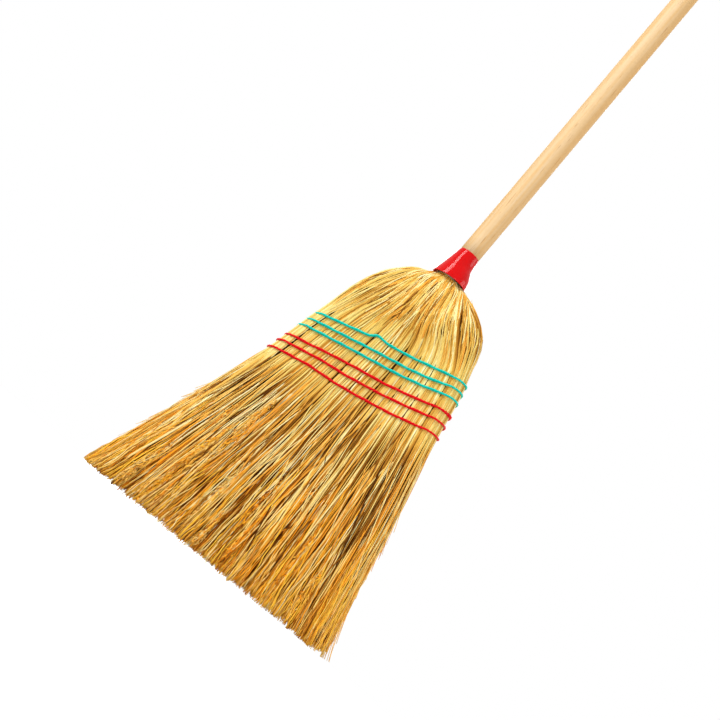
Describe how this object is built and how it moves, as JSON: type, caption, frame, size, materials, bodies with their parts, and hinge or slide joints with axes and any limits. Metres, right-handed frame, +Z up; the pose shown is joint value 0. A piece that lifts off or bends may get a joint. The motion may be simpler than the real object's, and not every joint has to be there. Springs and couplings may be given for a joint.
{
  "type": "broom",
  "caption": "Flat sewn broomcorn broom with a round wooden handle, a red plastic collar at the neck and rows of coloured twine, for sweeping floors.",
  "frame": {"origin": "on the floor at the sweep edge, under the handle axis", "axes": "+Z up along the handle from the sweep edge to the handle's top, +X across the width of the head to the right as seen from the front, front face towards -Y"},
  "size_m": [0.3426, 0.0482, 1.4],
  "materials": {
    "handle_wood": "satin",
    "collar_plastic": "gloss",
    "steel": "satin",
    "broomcorn": "matte",
    "teal_twine": "matte",
    "red_twine": "matte"
  },
  "bodies": {
    "root": {"handle": "handle_wood", "collar": "collar_plastic", "binding_wire": "steel", "wire_tack": "steel", "core_broomcorn": "broomcorn", "left_shoulder_broomcorn": "broomcorn", "right_shoulder_broomcorn": "broomcorn", "front_cover_broomcorn": "broomcorn", "back_cover_broomcorn": "broomcorn", "teal_band_1": "teal_twine", "teal_sewing_1": "teal_twine", "teal_band_2": "teal_twine", "teal_sewing_2": "teal_twine", "teal_band_3": "teal_twine", "teal_sewing_3": "teal_twine", "red_band_1": "red_twine", "red_sewing_1": "red_twine", "red_band_2": "red_twine", "red_sewing_2": "red_twine", "red_band_3": "red_twine", "red_sewing_3": "red_twine"}
  },
  "joints": []
}
